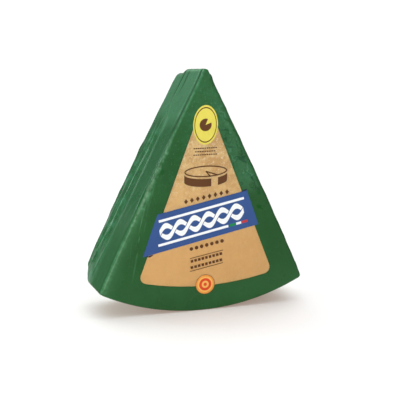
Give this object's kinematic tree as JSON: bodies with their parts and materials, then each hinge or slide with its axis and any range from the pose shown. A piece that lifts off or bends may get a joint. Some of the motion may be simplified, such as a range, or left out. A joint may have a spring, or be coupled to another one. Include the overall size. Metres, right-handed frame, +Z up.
{
  "type": "vacuum-packed wedge of hard cheese",
  "caption": "Wedge of hard grana cheese standing on its curved rind, tip up, sealed in creased green film with a clear front window and a blue slanted band.",
  "frame": {"origin": "middle of the object's footprint, on the surface it stands on, under the lowest line of the curved rind", "axes": "+Z up from the rind to the tip, +X to the right along the printed front, -Y out of the printed front"},
  "size_m": [0.1716, 0.0506, 0.1952],
  "materials": {
    "green_film": "satin printed vacuum film, green, with pleats and fine wrinkles",
    "cheese_paste": null,
    "clear_film": "clear glossy film over the window",
    "blue_print": "blue ink of the slanted band",
    "badge_print": "yellow, orange and brown inks of the badges and ornaments"
  },
  "bodies": {
    "root": {"film": "green_film", "cheese": "cheese_paste"}
  },
  "joints": []
}
